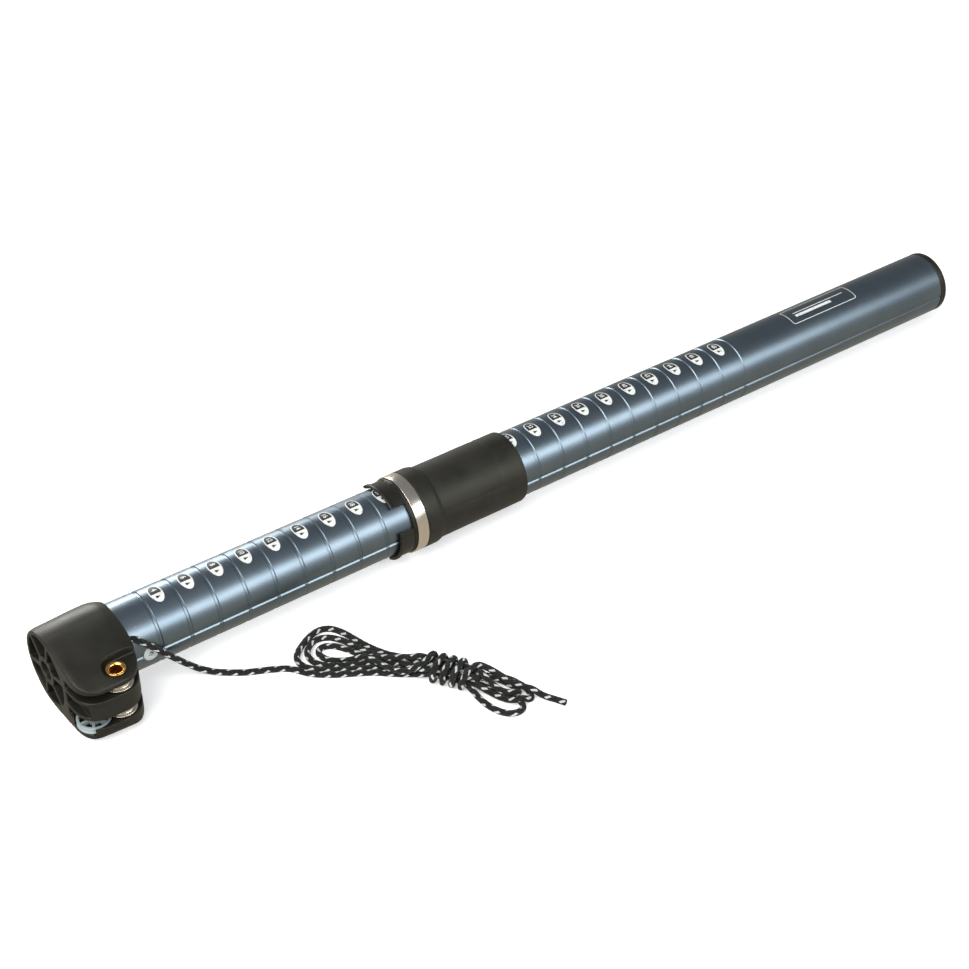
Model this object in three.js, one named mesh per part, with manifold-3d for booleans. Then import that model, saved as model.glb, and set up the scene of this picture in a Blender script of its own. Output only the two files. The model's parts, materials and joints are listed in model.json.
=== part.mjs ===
// Adjustable mast extension: a grooved alloy tube with a pulley head at its foot, a locking
// collar that slides along the tube, a tip plug and a downhaul line tied up in a hank.
// Millimetres. +X runs along the tube from the foot to the tip, +Z is up, -Y is the pulley side.
// Inside the assembly, x is counted from the foot's end face and y, z from the tube's axis.
import * as THREE from 'three';
import { mergeVertices } from 'three/addons/utils/BufferGeometryUtils.js';
import Module from 'manifold-3d';

const wasm = await Module();
wasm.setup();

// ---- driving dimensions ----
const FIT = 0.3;              // clearance between pieces that touch or slide
const SIDES = 36;             // facets round the tube and the collar

const TUBE_R = 22.5;
const TUBE_WALL = 2.0;
const TUBE_FOOT_X = 13;       // where the tube bottoms in the head
const TIP_X = 724;            // outer face of the tip plug
const GROOVES = 24;
const GROOVE_PITCH = 20;
const HEAD_LENGTH = 45;
const FIRST_GROOVE_X = HEAD_LENGTH + GROOVE_PITCH;
const GROOVE_WIDTH = 1.8;
const GROOVE_DEPTH = 0.55;
const KEYWAY_WIDTH = 2.2;
const KEYWAY_DEPTH = 0.7;

const TIP_LIP = 5;            // length of the plug's outer lip
const TIP_PLUG_DEPTH = 18;
const TIP_PLUG_WALL = 2.5;
const TIP_FLOOR = 2.5;        // thickness of the plug's closed end

const HEAD_R = TUBE_R + FIT + 3.5;      // half height of the head, and its round back
const SLOT_HALF_GAP = 7;      // the middle plate reaches this far above and below the axis
const SHEAVE_R = 9.3;
const SHEAVE_WIDTH = 5.0;
const SHEAVE_THROAT = 2.2;
const SLOT_HEIGHT = SHEAVE_WIDTH + 1.2;
const SLOT_BACK = TUBE_R + FIT + 4.2;   // the slots stop here, short of the tube socket
const AXLE_X = HEAD_LENGTH - 18;
const AXLE_Y = -(SLOT_BACK + 4 + SHEAVE_R);
const HEAD_FRONT = SHEAVE_R + 0.4 - AXLE_Y;   // how far the pulley side reaches from the axis
const LIP_Z = HEAD_R - 9.5;   // top of the upper plate at the front edge
const FLOOR_Z = HEAD_R - 4.3; // underside of the lower plate at the front edge
const CELL_DEPTH = 9;         // depth of the moulded cells in the end face
const CELL_WALL = 2.4;
const CELL_RIBS = 6;
const PIN_SOCKET_R = 6;
const PIN_BOSS_R = 8.4;

const AXLE_R = 4.5;
const AXLE_BORE_R = 3.7;
const AXLE_FLANGE_R = 6.2;
const AXLE_FLANGE = 1.2;
const RECESS_Z = LIP_Z + 0.1;        // flat that the axle's flange lies on
const RECESS_BACK = SLOT_BACK + 5.5;
const BUSH_WALL = 1.3;

const WHEEL_PIN_R = 1.6;
const WHEEL_X = AXLE_X - (SHEAVE_R + WHEEL_PIN_R + 5.5);
const WHEEL_Y = AXLE_Y + 3.4;
const WHEEL_CLEAR = 1.25;     // between the wheel's rim and the axle
const WHEEL_R = Math.hypot(AXLE_X - WHEEL_X, AXLE_Y - WHEEL_Y) - AXLE_R - WHEEL_CLEAR;
const MID_RECESS = 5.6;       // depth of the recess in the middle plate, from the end face
const WHEEL_WIDTH = 4.2;
const WHEEL_RIM = 1.7;
const WHEEL_HUB_R = 3.6;
const WHEEL_SPOKES = 6;
const WHEEL_SIDE_GAP = 0.5;

const SCREW_X = HEAD_LENGTH + 12;
const PLUG_LENGTH = SCREW_X + 14 - TUBE_FOOT_X;   // moulded core inside the foot of the tube
const PLUG_WALL = 4;
const SCREW_HEAD_R = 4.9;
const SCREW_SHANK_R = 2.4;
const SCREW_HEAD_DEPTH = 2.4;
const SCREW_LENGTH = 5.6;
const HEX_R = 1.7;

const COLLAR_X = FIRST_GROOVE_X + 8.4 * GROOVE_PITCH;   // fingertips in the setting shown
const FINGER_LENGTH = 11;
const FINGERS = 3;
const FINGER_ANGLE = 80;      // degrees of each finger; the windows take the rest
const FINGER_CENTRE = -25;    // degrees up from the pulley side to the middle of one finger
const FINGER_OUT_R = TUBE_R + FIT + 2.2;
const FINGER_LIP_R = FINGER_OUT_R + 0.9;
const FINGER_LIP = 2;
const RING_WIDTH = 8;
const RING_WALL = 0.9;
const FLANGE_R = HEAD_R;
const FLANGE_LENGTH = 12.2;
const FLANGE_CHAMFER = 2.6;
const SEAT_WIDTH = 0.7;       // flat shoulder that the foot of the mast stands on
const CORE_WALL = 0.7;        // the collar's core under its rubber sleeve
const RUBBER_WALL = 0.9;
const SLEEVE_R = TUBE_R + FIT + CORE_WALL + FIT + RUBBER_WALL;
const SLEEVE_LENGTH = 79;     // flange and sleeve together
const CORE_LENGTH = 92;       // collar core from fingertips to its hidden end
const KEY_LENGTH = 14;

const CORD_R = 2.0;
const CORD_SIDES = 8;
const EXIT_ANGLE = 37;        // degrees up from the pulley side to the cord's hole
const CORD_HOLE_R = 2.8;
const KNOT_R = 3.4;
const HANK_HEIGHT = 12;

const COLOURS = {
  alloy: ['#5d6b76', 0.35, 0.9], black: ['#2c2c29', 0.65, 0], rubber: ['#2a2a28', 0.8, 0],
  steel: ['#d6cbb8', 0.25, 1], brass: ['#d9a23c', 0.28, 1], zinc: ['#b9c4c4', 0.35, 1],
  grey: ['#a8b8b8', 0.5, 0], bronze: ['#9b7a4a', 0.4, 1], nylon: ['#3a3b3a', 0.6, 0],
  cord: ['#23241f', 0.9, 0],
};

// ---- solids ----
const deg = THREE.MathUtils.degToRad;

function solid(geometry) {
  const bare = geometry.index ? geometry.toNonIndexed() : geometry.clone();
  bare.deleteAttribute('normal');
  bare.deleteAttribute('uv');
  const merged = mergeVertices(bare, 1e-4);
  const mesh = new wasm.Mesh({
    numProp: 3,
    vertProperties: new Float32Array(merged.attributes.position.array),
    triVerts: new Uint32Array(merged.index.array),
  });
  return new wasm.Manifold(mesh);
}

function geometryOf(manifold) {
  const mesh = manifold.getMesh();
  const geometry = new THREE.BufferGeometry();
  geometry.setAttribute('position', new THREE.BufferAttribute(new Float32Array(mesh.vertProperties), 3));
  geometry.setIndex(new THREE.BufferAttribute(new Uint32Array(mesh.triVerts), 1));
  return geometry;
}

function box(x0, x1, y0, y1, z0, z1) {
  const geometry = new THREE.BoxGeometry(x1 - x0, y1 - y0, z1 - z0);
  return solid(geometry.translate((x0 + x1) / 2, (y0 + y1) / 2, (z0 + z1) / 2));
}

// A turned piece about the tube's axis; the profile is a list of [x, radius].
function turnedX(profile, sides = SIDES) {
  const points = profile.map(([x, r]) => new THREE.Vector2(r, x));
  return solid(new THREE.LatheGeometry(points, sides).rotateZ(-Math.PI / 2));
}

// A turned piece about a vertical axis at (x, y); the profile is a list of [radius, z].
function turnedZ(profile, x, y, sides = 24) {
  const points = profile.map(([r, z]) => new THREE.Vector2(r, z));
  return solid(new THREE.LatheGeometry(points, sides).rotateX(Math.PI / 2).translate(x, y, 0));
}

function tubeX(x0, x1, inner, outer, sides = SIDES) {
  return turnedX([[x0, inner], [x0, outer], [x1, outer], [x1, inner], [x0, inner]], sides);
}

function rodX(x0, x1, radius, y = 0, z = 0, sides = SIDES) {
  const geometry = new THREE.CylinderGeometry(radius, radius, x1 - x0, sides).rotateZ(Math.PI / 2);
  return solid(geometry.translate((x0 + x1) / 2, y, z));
}

function rodZ(x, y, z0, z1, radius, sides = 24) {
  const geometry = new THREE.CylinderGeometry(radius, radius, z1 - z0, sides).rotateX(Math.PI / 2);
  return solid(geometry.translate(x, y, (z0 + z1) / 2));
}

// A plate of an outline in the ground plane, between two heights.
function plate(outline, z0, z1) {
  const shape = new THREE.Shape(outline.map(([x, y]) => new THREE.Vector2(x, y)));
  return solid(new THREE.ExtrudeGeometry(shape, { depth: z1 - z0, bevelEnabled: false }).translate(0, 0, z0));
}

// Maps an outline of [towards the pulley side, up] to the assembly, extruded from x0 to x1.
function prismX(outline, x0, x1) {
  const shape = new THREE.Shape(outline.map(([u, z]) => new THREE.Vector2(u, z)));
  const geometry = new THREE.ExtrudeGeometry(shape, { depth: x1 - x0, bevelEnabled: false });
  return solid(geometry.applyMatrix4(new THREE.Matrix4().set(
    0, 0, -1, x1,
    -1, 0, 0, 0,
    0, 1, 0, 0,
    0, 0, 0, 1,
  )));
}

// A sector round the tube's axis, between two angles counted up from the pulley side.
function sector(x0, x1, from, to, radius) {
  const steps = Math.max(2, Math.ceil((to - from) / 15));
  const rim = Array.from({ length: steps + 1 }, (_, i) => deg(from + (to - from) * i / steps));
  return prismX([[0, 0], ...rim.map((a) => [radius * Math.cos(a), radius * Math.sin(a)])], x0, x1);
}

// The same outline at several stations along x, each scaled about the tube's axis.
function loft(outline, stations) {
  const count = outline.length;
  const positions = stations.flatMap(([x, scale]) => outline.flatMap(([u, z]) => [x, -u * scale, z * scale]));
  const faces = [];
  for (let s = 0; s < stations.length - 1; s += 1) {
    for (let i = 0; i < count; i += 1) {
      const a = s * count + i;
      const b = s * count + (i + 1) % count;
      faces.push(a, a + count, b, b, a + count, b + count);
    }
  }
  const cap = THREE.ShapeUtils.triangulateShape(outline.map(([u, z]) => new THREE.Vector2(u, z)), []);
  const last = (stations.length - 1) * count;
  cap.forEach(([a, b, c]) => faces.push(a, b, c, last + a, last + c, last + b));
  const geometry = new THREE.BufferGeometry();
  geometry.setAttribute('position', new THREE.Float32BufferAttribute(positions, 3));
  geometry.setIndex(faces);
  return solid(geometry);
}

const assembly = new THREE.Group();

function add(name, manifold, colour) {
  const [color, roughness, metalness] = COLOURS[colour];
  const mesh = new THREE.Mesh(geometryOf(manifold), new THREE.MeshStandardMaterial({ color, roughness, metalness }));
  mesh.name = name;
  assembly.add(mesh);
}

// ---- mast tube and tip plug ----
const tubeEnd = TIP_X - TIP_LIP - FIT;
const tubeInner = TUBE_R - TUBE_WALL;

function mastTube() {
  const outside = [[TUBE_FOOT_X, TUBE_R]];
  for (let i = 0; i < GROOVES; i += 1) {
    const x = FIRST_GROOVE_X + i * GROOVE_PITCH;
    outside.push([x - GROOVE_WIDTH / 2, TUBE_R], [x, TUBE_R - GROOVE_DEPTH], [x + GROOVE_WIDTH / 2, TUBE_R]);
  }
  outside.push([tubeEnd, TUBE_R]);
  const section = [[TUBE_FOOT_X, tubeInner], ...outside, [tubeEnd, tubeInner], [TUBE_FOOT_X, tubeInner]];
  const keyway = box(
    FIRST_GROOVE_X - GROOVE_PITCH, tubeEnd + 1, -TUBE_R - 1, -TUBE_R + KEYWAY_DEPTH,
    -KEYWAY_WIDTH / 2, KEYWAY_WIDTH / 2,
  );
  const screwHoles = [-1, 1].map((side) => screwBore(side));
  return turnedX(section).subtract(keyway).subtract(screwHoles[0]).subtract(screwHoles[1]);
}

function tipPlug() {
  const plugR = tubeInner - FIT;
  const root = tubeEnd + FIT;
  const floor = TIP_X - TIP_FLOOR;
  return turnedX([
    [floor, 0], [floor, plugR - TIP_PLUG_WALL], [root - TIP_PLUG_DEPTH, plugR - TIP_PLUG_WALL],
    [root - TIP_PLUG_DEPTH, plugR - 1], [root - TIP_PLUG_DEPTH + 2, plugR], [root, plugR], [root, TUBE_R],
    [TIP_X - 1.5, TUBE_R], [TIP_X - 0.4, TUBE_R - 0.5], [TIP_X, TUBE_R - 1.6], [TIP_X, 0],
  ]);
}

// ---- core inside the foot, and the two screws that hold it ----
const screwSeatR = TUBE_R - SCREW_HEAD_DEPTH;

// A countersunk screw along the y axis; grow opens it into its bore.
function screwShape(side, grow) {
  const profile = [
    [0, screwSeatR - SCREW_LENGTH - grow], [SCREW_SHANK_R + grow, screwSeatR - SCREW_LENGTH - grow],
    [SCREW_SHANK_R + grow, screwSeatR + 0.2], [SCREW_HEAD_R + grow, TUBE_R - 0.35],
    [SCREW_HEAD_R + grow, TUBE_R + (grow ? 2 : 0)], [0, TUBE_R + (grow ? 2 : 0)],
  ];
  const points = profile.map(([r, reach]) => new THREE.Vector2(r, reach));
  const turned = new THREE.LatheGeometry(points, 16).rotateX(side < 0 ? Math.PI : 0);
  return solid(turned.translate(SCREW_X, 0, 0));
}

function screwBore(side) {
  return screwShape(side, FIT);
}

function screw(side) {
  const hexDepth = SCREW_HEAD_DEPTH;
  const hex = new THREE.CylinderGeometry(HEX_R, HEX_R, hexDepth, 6)
    .translate(SCREW_X, side * (TUBE_R + 0.5 - hexDepth / 2), 0);
  return screwShape(side, 0).subtract(solid(hex));
}

function footCore() {
  const r = tubeInner - FIT;
  const core = tubeX(TUBE_FOOT_X + FIT, TUBE_FOOT_X + FIT + PLUG_LENGTH, r - PLUG_WALL, r);
  return core.subtract(screwBore(-1)).subtract(screwBore(1));
}

// ---- pulley head ----
const exit = [TUBE_R + CORD_R + 0.8, deg(EXIT_ANGLE)];
const exitY = -exit[0] * Math.cos(exit[1]);
const exitZ = exit[0] * Math.sin(exit[1]);
const slotTop = SLOT_HALF_GAP + SLOT_HEIGHT;
const wheelTop = -slotTop - 0.4;
const knotX = HEAD_LENGTH - 17;
const knotY = exitY - 2;
const knotZ = exitZ + 1.6;

function headShell() {
  const back = Array.from({ length: 19 }, (_, i) => {
    const angle = Math.PI / 2 + i * Math.PI / 18;
    return [HEAD_R * Math.cos(angle), HEAD_R * Math.sin(angle)];
  });
  const side = [
    ...back,
    [15, 1.3 - HEAD_R], [29, 2.9 - HEAD_R], [HEAD_FRONT - 10, -0.4 - FLOOR_Z], [HEAD_FRONT - 3.5, -FLOOR_Z],
    [HEAD_FRONT - 1, 1.4 - FLOOR_Z], [HEAD_FRONT, 4 - FLOOR_Z], [HEAD_FRONT, LIP_Z - 3],
    [HEAD_FRONT - 0.8, LIP_Z - 1.2], [HEAD_FRONT - 3, LIP_Z], [HEAD_FRONT - 12, LIP_Z + 3.1],
    [26, LIP_Z + 6.1], [14, LIP_Z + 8.4],
  ];
  const foot = [
    [0, HEAD_FRONT + HEAD_R + 1], [0, 25], [1, 15.5], [3.4, 9.8], [7, 5.2], [11.8, 1.9], [18, 0.5],
    [AXLE_X - 2, -0.3], [HEAD_LENGTH - 14, 0.6], [HEAD_LENGTH - 9.5, 2.8], [HEAD_LENGTH - 5.8, 7.2],
    [HEAD_LENGTH - 3, 13.5], [HEAD_LENGTH - 1, 22], [HEAD_LENGTH, 30], [HEAD_LENGTH, HEAD_FRONT + HEAD_R + 1],
  ].map(([x, inward]) => [x, inward - HEAD_FRONT]);
  const barrel = [
    [-1, 0.95], [0, 0.955], [2.5, 0.98], [9, 0.995], [20, 1], [HEAD_LENGTH - 13, 0.995],
    [HEAD_LENGTH - 7, 0.975], [HEAD_LENGTH - 3, 0.94], [HEAD_LENGTH + 1, 0.885],
  ];
  return loft(side, barrel).intersect(plate(foot, -HEAD_R - 2, HEAD_R + 2));
}

function endCells() {
  const ring = tubeX(-1, CELL_DEPTH, PIN_BOSS_R, HEAD_R * 0.955 - CELL_WALL);
  let cells = ring;
  for (let i = 0; i < CELL_RIBS / 2; i += 1) {
    const rib = new THREE.BoxGeometry(CELL_DEPTH + 4, 2, 2 * HEAD_R)
      .rotateX(deg(15) + i * 2 * Math.PI / CELL_RIBS).translate(CELL_DEPTH / 2, 0, 0);
    cells = cells.subtract(solid(rib));
  }
  return cells;
}

function pulleyHead() {
  const slot = (z0) => box(-1, HEAD_LENGTH + 1, -HEAD_FRONT - 5, -SLOT_BACK, z0, z0 + SLOT_HEIGHT);
  const cuts = [
    rodX(TUBE_FOOT_X - FIT, HEAD_LENGTH + 1, TUBE_R + FIT),
    rodX(-1, TUBE_FOOT_X, PIN_SOCKET_R, 0, 0, 24),
    endCells(),
    slot(SLOT_HALF_GAP),
    slot(-slotTop),
    box(-1, MID_RECESS, -HEAD_FRONT - 5, -SLOT_BACK, 2.4 - SLOT_HALF_GAP, SLOT_HALF_GAP - 2.4),
    rodZ(WHEEL_X, WHEEL_Y, wheelTop - WHEEL_WIDTH - WHEEL_SIDE_GAP, 0.1 - slotTop, WHEEL_R + 0.5, 36),
    rodZ(WHEEL_X, WHEEL_Y, -HEAD_R, 3.6 - SLOT_HALF_GAP, WHEEL_PIN_R + FIT, 16),
    rodZ(AXLE_X, AXLE_Y, -HEAD_R, HEAD_R, AXLE_R + FIT),
    rodZ(AXLE_X, AXLE_Y, -HEAD_R, AXLE_FLANGE + FIT - FLOOR_Z, AXLE_FLANGE_R + 0.5),
    rodZ(AXLE_X, AXLE_Y, RECESS_Z, HEAD_R + 1, AXLE_FLANGE_R + 1.7, 32),
    box(AXLE_X, HEAD_LENGTH + 1, -HEAD_FRONT - 5, -RECESS_BACK, RECESS_Z, HEAD_R + 1),
    rodX(knotX, HEAD_LENGTH + 1, CORD_HOLE_R, exitY, exitZ, 16),
    rodX(knotX - KNOT_R - 1, knotX + KNOT_R + 1, KNOT_R + 0.7, knotY, knotZ, 16),
  ];
  return cuts.reduce((body, cut) => body.subtract(cut), headShell());
}

// ---- hollow axle, sheaves and guide wheel ----
const axleTop = RECESS_Z + FIT;
const axleFoot = AXLE_FLANGE - FLOOR_Z;

function hollowAxle() {
  return turnedZ([
    [AXLE_BORE_R, axleFoot - AXLE_FLANGE], [AXLE_FLANGE_R - 0.4, axleFoot - AXLE_FLANGE],
    [AXLE_FLANGE_R, axleFoot - AXLE_FLANGE + 0.4], [AXLE_FLANGE_R, axleFoot], [AXLE_R, axleFoot],
    [AXLE_R, axleTop], [AXLE_FLANGE_R, axleTop], [AXLE_FLANGE_R, axleTop + AXLE_FLANGE - 0.4],
    [AXLE_FLANGE_R - 1, axleTop + AXLE_FLANGE + 0.2], [AXLE_BORE_R + 0.6, axleTop + AXLE_FLANGE],
    [AXLE_BORE_R, axleTop + AXLE_FLANGE - 0.8], [AXLE_BORE_R, axleFoot - AXLE_FLANGE],
  ], AXLE_X, AXLE_Y);
}

const bushR = AXLE_R + FIT + BUSH_WALL;

function bush(centre) {
  const h = SHEAVE_WIDTH / 2;
  return turnedZ([
    [AXLE_R + FIT, centre - h], [bushR, centre - h], [bushR, centre + h], [AXLE_R + FIT, centre + h],
    [AXLE_R + FIT, centre - h],
  ], AXLE_X, AXLE_Y);
}

function sheave(centre) {
  const h = SHEAVE_WIDTH / 2;
  const bore = bushR + FIT;
  return turnedZ([
    [bore, centre - h], [SHEAVE_R, centre - h], [SHEAVE_R, centre - h + 0.7],
    [SHEAVE_R - SHEAVE_THROAT, centre - 0.7], [SHEAVE_R - SHEAVE_THROAT, centre + 0.7],
    [SHEAVE_R, centre + h - 0.7], [SHEAVE_R, centre + h], [bore, centre + h], [bore, centre - h],
  ], AXLE_X, AXLE_Y, 30);
}

function guideWheel() {
  const z0 = wheelTop - WHEEL_WIDTH;
  const rimInner = WHEEL_R - WHEEL_RIM;
  const bore = WHEEL_PIN_R + FIT;
  const disc = turnedZ([
    [bore, z0], [WHEEL_R, z0], [WHEEL_R, z0 + 0.8], [WHEEL_R - 0.7, z0 + WHEEL_WIDTH / 2],
    [WHEEL_R, wheelTop - 0.8], [WHEEL_R, wheelTop], [bore, wheelTop], [bore, z0],
  ], WHEEL_X, WHEEL_Y, 30);
  let windows = turnedZ([
    [WHEEL_HUB_R, z0 - 1], [rimInner, z0 - 1], [rimInner, wheelTop + 1], [WHEEL_HUB_R, wheelTop + 1],
    [WHEEL_HUB_R, z0 - 1],
  ], WHEEL_X, WHEEL_Y, 30);
  for (let i = 0; i < WHEEL_SPOKES / 2; i += 1) {
    const spoke = new THREE.BoxGeometry(2 * WHEEL_R, 1.5, WHEEL_WIDTH + 4)
      .rotateZ(i * 2 * Math.PI / WHEEL_SPOKES).translate(WHEEL_X, WHEEL_Y, z0 + WHEEL_WIDTH / 2);
    windows = windows.subtract(solid(spoke));
  }
  return disc.subtract(windows);
}

function wheelPin() {
  return rodZ(WHEEL_X, WHEEL_Y, 0.3 - FLOOR_Z, 3.3 - SLOT_HALF_GAP, WHEEL_PIN_R, 16);
}

// ---- locking collar ----
const coreInner = TUBE_R + FIT;
const fingerRoot = COLLAR_X + FINGER_LENGTH;
const ringX = fingerRoot + 2;
const flangeX = ringX + RING_WIDTH + FIT;
const sleeveEnd = flangeX + SLEEVE_LENGTH;
const coreOuter = SLEEVE_R - RUBBER_WALL - FIT;

function collarCore() {
  const shell = turnedX([
    [COLLAR_X, coreInner + 1.6], [COLLAR_X, FINGER_LIP_R - 0.5], [COLLAR_X + 0.6, FINGER_LIP_R],
    [COLLAR_X + FINGER_LIP, FINGER_LIP_R], [COLLAR_X + FINGER_LIP + 0.6, FINGER_OUT_R],
    [flangeX + 1, FINGER_OUT_R], [flangeX + 2, coreOuter], [COLLAR_X + CORE_LENGTH, coreOuter],
    [COLLAR_X + CORE_LENGTH, coreInner], [COLLAR_X + 3, coreInner], [COLLAR_X, coreInner + 1.6],
  ], 48);
  const window = 360 / FINGERS - FINGER_ANGLE;
  return Array.from({ length: FINGERS }).reduce((body, _, i) => {
    const from = FINGER_CENTRE + FINGER_ANGLE / 2 + i * 360 / FINGERS;
    return body.subtract(sector(COLLAR_X - 1, fingerRoot, from, from + window, FLANGE_R + 4));
  }, shell).subtract(keySeat(FIT));
}

// The key rides in the tube's keyway and stops the collar turning.
function keySeat(grow) {
  return box(
    COLLAR_X + CORE_LENGTH - KEY_LENGTH - grow, COLLAR_X + CORE_LENGTH - (grow ? -1 : FIT),
    -coreOuter - (grow ? 1 : 0), -TUBE_R + KEYWAY_DEPTH - FIT,
    -KEYWAY_WIDTH / 2 + FIT - grow, KEYWAY_WIDTH / 2 - FIT + grow,
  );
}

function lockRing() {
  const inner = FINGER_OUT_R + FIT;
  const outer = inner + RING_WALL;
  return turnedX([
    [ringX, inner], [ringX, outer - 0.3], [ringX + 0.3, outer], [ringX + RING_WIDTH - 0.3, outer],
    [ringX + RING_WIDTH, outer - 0.3], [ringX + RING_WIDTH, inner], [ringX, inner],
  ], 48);
}

function rubberSleeve() {
  const seat = FINGER_OUT_R + FIT;
  const bore = coreOuter + FIT;
  return turnedX([
    [flangeX, seat], [flangeX, FLANGE_R], [flangeX + FLANGE_LENGTH - FLANGE_CHAMFER, FLANGE_R],
    [flangeX + FLANGE_LENGTH, SLEEVE_R + SEAT_WIDTH], [flangeX + FLANGE_LENGTH, SLEEVE_R],
    [sleeveEnd - 1, SLEEVE_R], [sleeveEnd, SLEEVE_R - 0.5],
    [sleeveEnd, bore], [flangeX + 2.6, bore], [flangeX + 1.6, seat], [flangeX, seat],
  ], 48);
}

// ---- downhaul line ----
const cordZ = CORD_R + 0.05 - HEAD_R;

// The line leaves the head beside the tube, drops over the tube's flank and runs out to the hank.
const runPoints = [
  [knotX + KNOT_R + 2, exitY, exitZ], [HEAD_LENGTH, exitY, exitZ], [49, -20.9, 14.4], [53.5, -23, 10.4],
  [58.5, -24.8, 5.4], [63.5, -25.6, -0.6], [69, -26.4, -7], [75, -27.6, -13.6], [81, -29.4, -19.4],
  [87, -32.6, -23], [92.5, -36.8, cordZ], [98.5, -41.6, cordZ], [106, -46.6, cordZ],
  [114, -50.6, cordZ], [122, -54.6, cordZ], [130.4, -59.2, cordZ],
];
const tailPoints = [
  [237.8, -165.2, cordZ], [241.2, -169.6, cordZ], [244.4, -173.8, cordZ], [247.4, -177.8, cordZ],
];
const HANK_START = [150.5, -48.5];
const HANK_HEADING = -55;     // degrees from +X
// Where the hank's two edges run between its round ends: [along, low edge, high edge].
const hankEdges = [
  [38, -19, 11.5], [52, -13, 10.5], [70, -12, 10.5], [104, -11.5, 12], [114, -15, 15.5],
];
const HANK_FIRST = [15.5, -3.5, 24];      // middle along, middle across, radius
const HANK_LAST = [128, -0.7, 16.8];

function cordTube(points) {
  const curve = new THREE.CatmullRomCurve3(points.map((p) => new THREE.Vector3(...p)), false, 'centripetal');
  const ring = Array.from({ length: CORD_SIDES }, (_, i) => {
    const angle = 2 * Math.PI * i / CORD_SIDES;
    return new THREE.Vector2(CORD_R * Math.cos(angle), CORD_R * Math.sin(angle));
  });
  const steps = Math.round(curve.getLength() / (5 * CORD_R));
  return solid(new THREE.ExtrudeGeometry(new THREE.Shape(ring), { steps, extrudePath: curve }));
}

function hank() {
  const roundEnd = ([along, across, radius], from) => Array.from({ length: 9 }, (_, i) => {
    const angle = from + i * Math.PI / 8;
    return [along + radius * Math.cos(angle), across + radius * Math.sin(angle)];
  });
  const outline = [
    ...roundEnd(HANK_FIRST, Math.PI / 2), ...hankEdges.map(([along, low]) => [along, low]),
    ...roundEnd(HANK_LAST, -Math.PI / 2), ...hankEdges.map(([along, , high]) => [along, high]).reverse(),
  ];
  const heading = deg(HANK_HEADING);
  const turned = outline.map(([along, across]) => [
    HANK_START[0] + along * Math.cos(heading) - across * Math.sin(heading),
    HANK_START[1] + along * Math.sin(heading) + across * Math.cos(heading),
  ]);
  return plate(turned, 0.05 - HEAD_R, HANK_HEIGHT - HEAD_R);
}

function cordKnot() {
  const ball = new THREE.SphereGeometry(KNOT_R, 14, 10);
  return solid(ball.translate(knotX, knotY, knotZ));
}

add('mast_tube', mastTube(), 'alloy');
add('tip_plug', tipPlug(), 'black');
add('foot_core', footCore(), 'nylon');
add('core_screw_front', screw(-1), 'zinc');
add('core_screw_back', screw(1), 'zinc');
add('pulley_head', pulleyHead(), 'black');
add('hollow_axle', hollowAxle(), 'brass');
const upperSheaveZ = SLOT_HALF_GAP + SLOT_HEIGHT / 2;
add('upper_sheave', sheave(upperSheaveZ), 'steel');
add('upper_bush', bush(upperSheaveZ), 'bronze');
add('lower_sheave', sheave(-upperSheaveZ), 'steel');
add('lower_bush', bush(-upperSheaveZ), 'bronze');
add('guide_wheel', guideWheel(), 'grey');
add('guide_wheel_pin', wheelPin(), 'zinc');
add('collar_core', collarCore(), 'black');
add('collar_key', keySeat(0), 'zinc');
add('lock_ring', lockRing(), 'steel');
add('rubber_sleeve', rubberSleeve(), 'rubber');
add('line_knot', cordKnot(), 'cord');
add('line_run', cordTube(runPoints), 'cord');
add('line_hank', hank(), 'cord');
add('line_tail', cordTube(tailPoints), 'cord');

// The part's origin: the middle of the rigid pieces, on the surface they lie on.
assembly.position.set(-TIP_X / 2, (HEAD_FRONT - HEAD_R) / 2, HEAD_R);
const group = new THREE.Group();
group.add(assembly);

export default group;
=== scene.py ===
# %% [markdown]
# # An adjustable mast extension
# The object is a grooved alloy tube. A moulded pulley head sits on its foot, a locking collar
# slides along it, a plug closes its tip, and a downhaul line lies beside it, tied up in a hank.
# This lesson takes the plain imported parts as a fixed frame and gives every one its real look:
# fine turned and moulded pieces, printed setting marks, a braided line and a finish for each.

# %% Load the frame
import json
import math
import bmesh
import bpy
import numpy as np
from mathutils import Matrix, Vector

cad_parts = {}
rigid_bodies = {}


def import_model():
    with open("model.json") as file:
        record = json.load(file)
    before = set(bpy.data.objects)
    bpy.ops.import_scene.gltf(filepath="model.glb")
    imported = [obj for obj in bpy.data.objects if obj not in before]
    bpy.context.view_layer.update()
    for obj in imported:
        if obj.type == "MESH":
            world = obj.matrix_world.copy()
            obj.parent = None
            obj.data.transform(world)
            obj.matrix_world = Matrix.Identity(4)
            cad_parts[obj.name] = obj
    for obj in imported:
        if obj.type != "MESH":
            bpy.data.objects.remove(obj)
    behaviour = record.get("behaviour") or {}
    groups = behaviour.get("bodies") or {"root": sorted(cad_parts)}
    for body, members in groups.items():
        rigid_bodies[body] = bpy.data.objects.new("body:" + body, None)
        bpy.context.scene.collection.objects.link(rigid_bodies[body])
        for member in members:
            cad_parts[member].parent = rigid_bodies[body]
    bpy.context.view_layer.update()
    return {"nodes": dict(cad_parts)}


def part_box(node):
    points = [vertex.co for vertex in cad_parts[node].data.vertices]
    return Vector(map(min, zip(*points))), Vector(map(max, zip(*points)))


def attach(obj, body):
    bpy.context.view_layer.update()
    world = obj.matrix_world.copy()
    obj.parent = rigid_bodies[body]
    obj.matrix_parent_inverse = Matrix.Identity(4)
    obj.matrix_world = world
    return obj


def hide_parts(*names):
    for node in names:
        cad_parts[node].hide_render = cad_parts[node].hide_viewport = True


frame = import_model()
print("the frame has", len(frame["nodes"]), "parts")

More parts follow.
